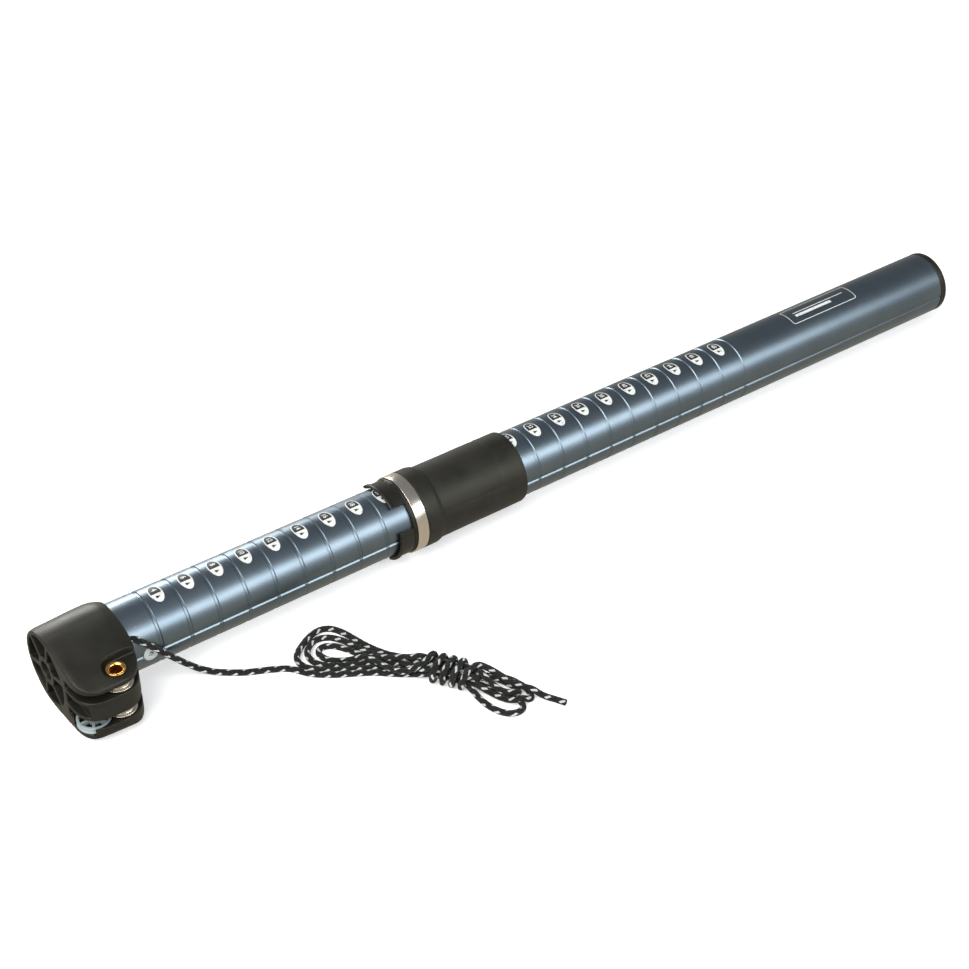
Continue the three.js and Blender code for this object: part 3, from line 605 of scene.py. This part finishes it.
# %% Rubber sleeve with its creases
sleeve_r = TUBE_R + 2.2
stations = [FLANGE_X + 12.9, *np.linspace(FLANGE_X + 15, SLEEVE_END - 2, 44)]
sleeve = turned([(FLANGE_X, finger_r + .3), (FLANGE_X, HEAD_R - .35), (FLANGE_X + .35, HEAD_R),
                 (FLANGE_X + 9.3, HEAD_R), (FLANGE_X + 9.9, HEAD_R - .15),
                 (FLANGE_X + 11.8, sleeve_r + 1.0), (FLANGE_X + 12.2, sleeve_r + .7),
                 (FLANGE_X + 12.3, sleeve_r + .1), *[(x, sleeve_r) for x in stations],
                 (SLEEVE_END - .8, sleeve_r), (SLEEVE_END - .15, sleeve_r - .25),
                 (SLEEVE_END, sleeve_r - .6), (SLEEVE_END, core_r + .3),
                 (FLANGE_X + 2.6, core_r + .3), (FLANGE_X + 1.6, finger_r + .3)], 180)


def crease(value, middle, width):
    return math.exp(-((value - middle) / width) ** 2)


for v in sleeve.verts:
    r = math.hypot(v.co.y, v.co.z)
    if v.co.x > FLANGE_X + 14 and r > sleeve_r - .1:
        a = math.degrees(math.atan2(v.co.z, -v.co.y))
        reach = 1 / (1 + math.exp(-(a - 20) / 6)) if abs(a) < 150 else 0
        push = -.3 * crease(v.co.x, 315 + .02 * (a - 60), 1.1) * reach
        push += .07 * crease(v.co.x, 317.8, 1.8) * reach
        push -= .22 * crease(a, 17.5, 1.7) * crease(v.co.x, 300, 34)
        push += .05 * math.sin(v.co.x * .16 + a * .02) * math.sin(math.radians(a) * 3)
        push = min(push, .08)
        v.co.y, v.co.z = v.co.y * (r + push) / r, v.co.z * (r + push) / r
sleeve = finish_piece(placed(sleeve), "rubber_mast_sleeve", "collar", ("rubber_sleeve",), sharp=30)
print("core", len(core.data.polygons), "ring", len(ring.data.polygons), "sleeve",
      len(sleeve.data.polygons), "faces")

# %% [markdown]
# ## Setting marks
# Between each pair of grooves a small printed oval gives the setting in centimetres, with a
# pointer beside it. Print is a few hundredths of a millimetre thick, so each mark is drawn flat
# as thin layers, cut into narrow strips and wrapped round the tube. An image would be simpler,
# but cut shapes stay sharp at any distance.

# %% Flat shapes for the print
WHITE, DARK = 0, 1


def flat_shape(bm, points, lift, ink):
    """A flat face of (round the tube, along the tube) points at a small lift."""
    face = bm.faces.new([bm.verts.new((x, y, lift)) for x, y in points])
    face.normal_update()
    if face.normal.z < 0:
        face.normal_flip()
    face.material_index = ink


def oval(half_width, half_length, cut=None):
    """An oval's outline; what lies beyond the cut, round the tube, is left off."""
    turn = np.linspace(0, 2 * math.pi, 56, endpoint=False)
    points = [(half_width * math.cos(a), half_length * math.sin(a)) for a in turn]
    if cut is not None:
        edge = half_length * math.sqrt(1 - (cut / half_width) ** 2)
        points = [p for p in points if p[0] < cut]
        points = [(cut, edge)] + points + [(cut, -edge)]
    return points


def printed_number(text, size, centre):
    """A number as a flat mesh, its middle at centre."""
    letters = bpy.data.curves.new("number", "FONT")
    letters.body, letters.size, letters.align_x, letters.align_y = text, size, "CENTER", "CENTER"
    letters.resolution_u = 3
    letters.offset = size * .012
    obj = bpy.data.objects.new("number", letters)
    bpy.context.scene.collection.objects.link(obj)
    mesh = mesh_of(obj)
    mesh.transform(Matrix.Translation(centre))
    return mesh


def wrapped(bm, along):
    """Cuts a flat drawing into strips and wraps it over the top of the tube."""
    width = max(abs(v.co.x) for v in bm.verts)
    for k in np.arange(-math.ceil(width), math.ceil(width) + 1, 1.0):
        bmesh.ops.bisect_plane(bm, geom=bm.verts[:] + bm.edges[:] + bm.faces[:], dist=1e-4,
                               plane_co=(k, 0, 0), plane_no=(1, 0, 0))
    for v in bm.verts:
        a, r = v.co.x / TUBE_R, TUBE_R + v.co.z
        v.co = (along + v.co.y, -r * math.sin(a), r * math.cos(a))
    return bm


# %% Ovals, pointers and numbers
prints = bmesh.new()
for i in range(GROOVES - 1):
    mark = bmesh.new()
    flat_shape(mark, oval(8.0, 4.25), .02, WHITE)
    flat_shape(mark, oval(7.3, 3.55, cut=1.0), .035, DARK)
    flat_shape(mark, [(2.6, -1.5), (4.9, -1.5), (3.75, 1.7)], .035, DARK)
    label = str(4 + 2 * i)
    number = printed_number(label, 4.7 if len(label) < 2 else 4.5, (-2.7, 0, .05))
    mark.from_mesh(number)
    mark_mesh = bpy.data.meshes.new("mark")
    wrapped(mark, GROOVE_FIRST + i * GROOVE_PITCH + 9.6).to_mesh(mark_mesh)
    mark.free()
    prints.from_mesh(mark_mesh)
print("marks:", len(prints.faces), "faces")

# %% [markdown]
# Near the tip the real tube has a printed panel. Here it is a plain one, a rounded frame with two
# rules, which says nothing.

# %% Plain panel near the tip
def bar(bm, x0, x1, y0, y1):
    flat_shape(bm, [(x0, y0), (x1, y0), (x1, y1), (x0, y1)], .05, WHITE)


panel = bmesh.new()
corners = [(6.4, 28.4, 0), (-6.4, 28.4, 90), (-6.4, -28.4, 180), (6.4, -28.4, 270)]
spots = [(x, y, math.radians(t + k * 15)) for x, y, t in corners for k in range(7)]
loops = [[panel.verts.new((x + r * math.cos(a), y + r * math.sin(a), .02)) for x, y, a in spots]
         for r in (2.2, 1.7)]
rims = [panel.edges.new((a, b)) for loop in loops for a, b in zip(loop, loop[1:] + loop[:1])]
bmesh.ops.bridge_loops(panel, edges=rims)
bmesh.ops.recalc_face_normals(panel, faces=panel.faces[:])
if sum(f.normal.z for f in panel.faces) < 0:
    bmesh.ops.reverse_faces(panel, faces=panel.faces[:])
bar(panel, -1.4, -.7, -24, 24)
bar(panel, 1.0, 3.4, -24, 10)
PANEL_X = 612
panel_mesh = bpy.data.meshes.new("panel")
wrapped(panel, PANEL_X).to_mesh(panel_mesh)
prints.from_mesh(panel_mesh)
marks = finish_piece(placed(prints), "printed_marks", "base", (), sharp=60)
print("print:", len(marks.data.polygons), "faces")

# %% [markdown]
# ## Finishes
# Several finishes share the same small effects: a fine moulded grain, lines left by drawing or
# brushing, scuffs from use and the crossing carriers of a braid. Each is a node group, built once
# and placed in each material with its own numbers.

# %% Helpers for node trees
def add_node(tree, kind, inputs=None, **settings):
    """Adds a node, sets its properties, and links or sets its inputs."""
    node = tree.nodes.new(kind)
    for key, value in settings.items():
        setattr(node, key, value)
    for key, value in (inputs or {}).items():
        if isinstance(value, bpy.types.NodeSocket):
            tree.links.new(value, node.inputs[key])
        else:
            node.inputs[key].default_value = value
    return node


def calc(tree, operation, a, b=0.0):
    return add_node(tree, "ShaderNodeMath", {0: a, 1: b}, operation=operation).outputs[0]


def ranged(tree, value, low, high, to_low=0.0, to_high=1.0):
    return add_node(tree, "ShaderNodeMapRange", {0: value, 1: low, 2: high, 3: to_low, 4: to_high}).outputs[0]


def noise(tree, spot, scale, detail, **more):
    return add_node(tree, "ShaderNodeTexNoise",
                    {"Vector": spot, "Scale": scale, "Detail": detail, **more}).outputs["Fac"]


def blend_colour(tree, mask, a, b):
    mix = add_node(tree, "ShaderNodeMix", {0: mask, 6: a, 7: b}, data_type="RGBA")
    return mix.outputs[2]


def new_group(name, inputs, outputs):
    tree = bpy.data.node_groups.new(name, "ShaderNodeTree")
    for label, value in inputs.items():
        tree.interface.new_socket(label, in_out="INPUT", socket_type="NodeSocketFloat").default_value = value
    for label in outputs:
        tree.interface.new_socket(label, in_out="OUTPUT", socket_type="NodeSocketFloat")
    return tree, tree.nodes.new("NodeGroupInput").outputs, tree.nodes.new("NodeGroupOutput").inputs


def use_group(tree, group, **values):
    node = add_node(tree, "ShaderNodeGroup", node_tree=group)
    for label, value in values.items():
        node.inputs[label.replace("_", " ")].default_value = value
    return node.outputs


# %% Moulded grain
grain, take, give = new_group("moulded grain", {"Scale": 2500.0}, ["Height", "Patches"])
spot = add_node(grain, "ShaderNodeTexCoord").outputs["Object"]
fine = noise(grain, spot, take["Scale"], 2.0)
broad = noise(grain, spot, 60.0, 3.0)
grain.links.new(fine, give["Height"])
grain.links.new(ranged(grain, broad, .35, .65), give["Patches"])

# %% Drawn or brushed lines
drawn, take, give = new_group("drawn lines", {"Along X": 8.0, "Across X": 1800.0}, ["Height"])
spot = add_node(drawn, "ShaderNodeTexCoord").outputs["Object"]
stretch = add_node(drawn, "ShaderNodeCombineXYZ",
                   {0: take["Along X"], 1: take["Across X"], 2: take["Across X"]}).outputs[0]
placed_at = add_node(drawn, "ShaderNodeVectorMath", {0: spot, 1: stretch}, operation="MULTIPLY").outputs[0]
drawn.links.new(noise(drawn, placed_at, 1.0, 3.0), give["Height"])

# %% Scuffs and dust
scuffs, take, give = new_group("scuffs", {"Scale": 90.0, "Cover": .5}, ["Mask"])
spot = add_node(scuffs, "ShaderNodeTexCoord").outputs["Object"]
where = noise(scuffs, spot, take["Scale"], 4.0, Roughness=.65)
dots = noise(scuffs, spot, 1400.0, 2.0)
edge_of = calc(scuffs, "SUBTRACT", .8, calc(scuffs, "MULTIPLY", take["Cover"], .3))
cloud = calc(scuffs, "ADD", where, calc(scuffs, "MULTIPLY", dots, .12))
inside = calc(scuffs, "GREATER_THAN", cloud, edge_of)
scuffs.links.new(calc(scuffs, "MULTIPLY", inside, ranged(scuffs, dots, .4, .62)), give["Mask"])

# %% [markdown]
# The braid has twelve carriers, six leaning each way, each passing over two and under two. On
# the line's UV map, u runs along it and v round it, so a carrier is a band where v plus or minus
# the turns made so far stays the same. Which family is on top changes in a check of two by two.
# Every third of those that lean right is pale, which leaves short slanted flecks on a black line. The low
# ground between strands is painted near-black as shade.

# %% Braid
braid, take, give = new_group("braid", {"Turns": 100.0, "Carriers": 6.0}, ["Height", "Fleck", "Gap Shade"])
uv_map = add_node(braid, "ShaderNodeTexCoord").outputs["UV"]
uv = add_node(braid, "ShaderNodeSeparateXYZ", {0: uv_map}).outputs
along = calc(braid, "MULTIPLY", uv[0], take["Turns"])
right = calc(braid, "MULTIPLY", calc(braid, "ADD", uv[1], along), take["Carriers"])
left = calc(braid, "MULTIPLY", calc(braid, "SUBTRACT", uv[1], along), take["Carriers"])
cells = calc(braid, "ADD", calc(braid, "FLOOR", right), calc(braid, "FLOOR", left))
check = calc(braid, "FLOORED_MODULO", cells, 4.0)
right_on_top = calc(braid, "LESS_THAN", check, 1.5)


def strand_height(value):
    """The rounded height of a band."""
    middle = calc(braid, "SUBTRACT", calc(braid, "FRACT", value), .5)
    return calc(braid, "SUBTRACT", 1.0, calc(braid, "MULTIPLY", calc(braid, "MULTIPLY", middle, middle), 4.0))


PALE_EVERY = 3.0
carrier = calc(braid, "FLOORED_MODULO", calc(braid, "FLOOR", right), PALE_EVERY)
pale = calc(braid, "LESS_THAN", carrier, .5)
height = add_node(braid, "ShaderNodeMix",
                  {0: right_on_top, 2: strand_height(left), 3: strand_height(right)}).outputs[0]
braid.links.new(height, give["Height"])
braid.links.new(calc(braid, "MULTIPLY", right_on_top, pale), give["Fleck"])
# Painted shade: the low ground between strands, from the weave's height.
braid.links.new(ranged(braid, height, 0.0, .45, 1.0, 0.0), give["Gap Shade"])
print("node groups:", [g.name for g in bpy.data.node_groups])

# %% [markdown]
# Each finish below keeps its shader in the material. Steady numbers, such as an IOR, are set on
# the shader itself; only what changes over the surface is linked.

# %% A material to start from
def new_material(name, **steady):
    material = bpy.data.materials.new(name)
    material.use_nodes = True
    shader = material.node_tree.nodes["Principled BSDF"]
    for label, value in steady.items():
        shader.inputs[label.replace("_", " ")].default_value = value
    return material, material.node_tree, shader


def link_bump(tree, shader, height, strength, distance=.0002):
    bump = add_node(tree, "ShaderNodeBump", {"Height": height, "Strength": strength, "Distance": distance})
    tree.links.new(bump.outputs[0], shader.inputs["Normal"])


# %% Anodised alloy
alloy, tree, shader = new_material("anodised_alloy", Metallic=1.0)
lines = use_group(tree, drawn, Along_X=5.0, Across_X=2200.0)["Height"]
wear = use_group(tree, scuffs, Scale=70.0, Cover=.05)["Mask"]
patches = use_group(tree, grain, Scale=900.0)["Patches"]
tone = blend_colour(tree, patches, (.185, .235, .275, 1), (.205, .255, .295, 1))
tree.links.new(blend_colour(tree, wear, tone, (.34, .38, .40, 1)), shader.inputs["Base Color"])
tree.links.new(ranged(tree, lines, .2, .8, .35, .39), shader.inputs["Roughness"])
link_bump(tree, shader, lines, .012)

# %% Groove flanks painted dark as shade, and the milled keyway
flank_shade, tree, shader = new_material("painted_shade_groove_flank", IOR=1.3)
lines = use_group(tree, drawn, Along_X=3000.0, Across_X=40.0)["Height"]
# Painted shade: near-black flanks stand in for the shade inside each groove.
tone = blend_colour(tree, lines, (.006, .008, .010, 1), (.014, .018, .022, 1))
tree.links.new(tone, shader.inputs["Base Color"])
tree.links.new(ranged(tree, lines, .3, .7, .5, .6), shader.inputs["Roughness"])
milled, tree, shader = new_material("milled_keyway")
lines = use_group(tree, drawn, Along_X=4.0, Across_X=2500.0)["Height"]
tone = blend_colour(tree, lines, (.84, .82, .76, 1), (.94, .92, .86, 1))
tree.links.new(tone, shader.inputs["Base Color"])
tree.links.new(ranged(tree, lines, .3, .7, .4, .5), shader.inputs["Roughness"])
link_bump(tree, shader, lines, .05)

# %% Black moulded plastic
plastic, tree, shader = new_material("black_moulding", IOR=1.45, Specular_Tint=(1, .97, .84, 1))
parts = use_group(tree, grain, Scale=2200.0)
wear = use_group(tree, scuffs, Scale=220.0, Cover=.1)["Mask"]
tone = blend_colour(tree, parts["Patches"], (.0085, .0085, .007, 1), (.013, .0125, .010, 1))
tree.links.new(blend_colour(tree, wear, tone, (.035, .034, .03, 1)), shader.inputs["Base Color"])
tree.links.new(ranged(tree, parts["Patches"], 0, 1, .40, .48), shader.inputs["Roughness"])
link_bump(tree, shader, parts["Height"], .25)

# %% Rubber
rubber, tree, shader = new_material("scuffed_rubber", IOR=1.45, Specular_Tint=(1, .97, .84, 1))
parts = use_group(tree, grain, Scale=1500.0)
wear = use_group(tree, scuffs, Scale=150.0, Cover=.12)["Mask"]
tone = blend_colour(tree, parts["Patches"], (.0095, .0095, .008, 1), (.015, .0145, .012, 1))
tree.links.new(blend_colour(tree, wear, tone, (.04, .039, .035, 1)), shader.inputs["Base Color"])
tree.links.new(ranged(tree, parts["Patches"], 0, 1, .46, .56), shader.inputs["Roughness"])
link_bump(tree, shader, parts["Height"], .3)

# %% Bare metals
def metal(name, dull, bright, rough, along, across, strength=.08, metallic=1.0):
    material, tree, shader = new_material(name, Metallic=metallic)
    lines = use_group(tree, drawn, Along_X=along, Across_X=across)["Height"]
    patches = use_group(tree, grain, Scale=1200.0)["Patches"]
    tree.links.new(blend_colour(tree, patches, (*dull, 1), (*bright, 1)), shader.inputs["Base Color"])
    tree.links.new(ranged(tree, lines, .3, .7, rough - .02, rough + .03), shader.inputs["Roughness"])
    link_bump(tree, shader, lines, strength)
    return material


stainless = metal("brushed_stainless", (.84, .77, .66), (.90, .83, .72), .24, 4000.0, 12.0, .006)
brass = metal("polished_brass", (.84, .52, .15), (.95, .64, .22), .22, 500.0, 500.0, .006)
zinc = metal("bright_zinc", (.56, .62, .61), (.68, .74, .73), .3, 700.0, 700.0, metallic=.35)
# Painted shade: a near-black finish for the inside of the axle's bore.
bore_shade = metal("painted_shade_bore", (.05, .03, .012), (.09, .055, .02), .5, 500.0, 500.0)
bronze = metal("dull_bronze", (.28, .19, .09), (.38, .27, .14), .42, 900.0, 900.0)

# %% Grey and natural plastics
def plain_plastic(name, low, high, rough):
    material, tree, shader = new_material(name, IOR=1.48)
    parts = use_group(tree, grain, Scale=1800.0)
    tree.links.new(blend_colour(tree, parts["Patches"], (*low, 1), (*high, 1)), shader.inputs["Base Color"])
    tree.links.new(ranged(tree, parts["Patches"], 0, 1, rough, rough + .1), shader.inputs["Roughness"])
    link_bump(tree, shader, parts["Height"], .12)
    return material


grey_plastic = plain_plastic("grey_moulding", (.24, .29, .30), (.31, .37, .38), .35)
nylon = plain_plastic("natural_nylon", (.04, .04, .04), (.06, .06, .058), .45)

# %% Braided polyester
TURN_LENGTH = 19.0      # one full turn of a carrier round the line, in mm
polyester, tree, shader = new_material("flecked_braid", Roughness=.72, IOR=1.48)
weave = use_group(tree, braid, Turns=cord_length / TURN_LENGTH, Carriers=6.0)
fuzz = use_group(tree, grain, Scale=3500.0)
tone = blend_colour(tree, fuzz["Patches"], (.007, .007, .006, 1), (.013, .013, .011, 1))
tone = blend_colour(tree, weave["Fleck"], tone, (.50, .54, .53, 1))
# Painted shade: the braid's low ground between strands turns near-black.
tree.links.new(blend_colour(tree, weave["Gap Shade"], tone, (.003, .003, .0025, 1)), shader.inputs["Base Color"])
shader.inputs["Specular IOR Level"].default_value = .25
shader.inputs["Sheen Weight"].default_value = .08
shader.inputs["Sheen Roughness"].default_value = .5
tall = calc(tree, "ADD", weave["Height"], calc(tree, "MULTIPLY", fuzz["Height"], .35))
link_bump(tree, shader, tall, 1.0, .0006)

# %% Inks
def ink(name, low, high):
    material, tree, shader = new_material(name, IOR=1.45)
    wear = use_group(tree, scuffs, Scale=300.0, Cover=.5)["Mask"]
    tree.links.new(blend_colour(tree, wear, (*low, 1), (*high, 1)), shader.inputs["Base Color"])
    shader.inputs["Roughness"].default_value = .45
    return material


white_ink = ink("white_ink", (.72, .74, .71), (.42, .45, .46))
dark_ink = ink("dark_ink", (.02, .022, .024), (.06, .07, .08))

# %% Put the finishes on
FINISHES = {
    alloy: [tube], plastic: [head, plug, core], rubber: [sleeve], stainless: [ring, upper, lower],
    brass: [axle], zinc: [front_screw, back_screw], grey_plastic: [wheel], polyester: [line],
}
for material, objects in FINISHES.items():
    for piece in objects:
        piece.data.materials.clear()
        piece.data.materials.append(material)
axle.data.materials.append(bore_shade)
tube.data.materials.append(flank_shade)
tube.data.materials.append(milled)
marks.data.materials.append(white_ink)
marks.data.materials.append(dark_ink)
NODE_FINISHES = {"foot_core": nylon, "upper_bush": bronze, "lower_bush": bronze, "guide_wheel_pin": zinc,
                 "collar_key": zinc, "line_knot": polyester}
for node, material in NODE_FINISHES.items():
    for place in frame["nodes"][node].material_slots:
        place.material = material
print("finishes:", sorted(m.name for m in bpy.data.materials if m.users))

# %% [markdown]
# ## Floor and light
# The object lies on a plain pale floor, lit a little from within so that it stays white, and kept
# out of mirror reflections so that the tube's underside stays dark. A long soft light to the
# right lays one bright band along the tube, a pale card behind the head whitens the tube's top
# there, and a faint sky, warmer towards the ground, fills the rest.

# %% Floor
bm = bmesh.new()
bmesh.ops.create_grid(bm, x_segments=1, y_segments=1, size=4)
floor_mesh = bpy.data.meshes.new("floor")
bm.to_mesh(floor_mesh)
bm.free()
floor = bpy.data.objects.new("floor", floor_mesh)
bpy.context.scene.collection.objects.link(floor)
floor_paper, tree, shader = new_material("floor_paper", Roughness=.9)
parts = use_group(tree, grain, Scale=400.0)
tone = blend_colour(tree, parts["Patches"], (.90, .90, .90, 1), (.92, .92, .92, 1))
tree.links.new(tone, shader.inputs["Base Color"])
shader.inputs["Emission Color"].default_value = (1, 1, 1, 1)
shader.inputs["Emission Strength"].default_value = .35
floor_mesh.materials.append(floor_paper)
floor.visible_glossy = False

# %% Lights
def soft_light(name, place, aim, size, power, colour=(1, 1, 1)):
    data = bpy.data.lights.new(name, "AREA")
    data.shape, data.size, data.size_y, data.energy, data.color = "RECTANGLE", size[0], size[1], power, colour
    lamp = bpy.data.objects.new(name, data)
    lamp.location = place
    lamp.rotation_euler = (Vector(aim) - Vector(place)).to_track_quat("-Z", "Y").to_euler()
    bpy.context.scene.collection.objects.link(lamp)


soft_light("long_light", (.36, -1.05, .76), (.1, 0, 0), (1.4, .5), 12, (.95, .98, 1))
soft_light("back_card", (-.15, 1.3, .36), (-.2, 0, 0), (.9, .42), 12)
soft_light("side_light", (-1.7, -.5, 1.9), (0, 0, 0), (2.2, 2.2), 80, (1, .985, .96))
sky = bpy.data.worlds.new("sky")
bpy.context.scene.world = sky
sky.use_nodes = True
tree = sky.node_tree
sight = add_node(tree, "ShaderNodeTexCoord").outputs["Generated"]
height = add_node(tree, "ShaderNodeSeparateXYZ", {0: sight}).outputs[2]
tint = blend_colour(tree, ranged(tree, height, -.12, .25), (.46, .42, .35, 1), (.2, .205, .22, 1))
tree.links.new(tint, tree.nodes["Background"].inputs[0])
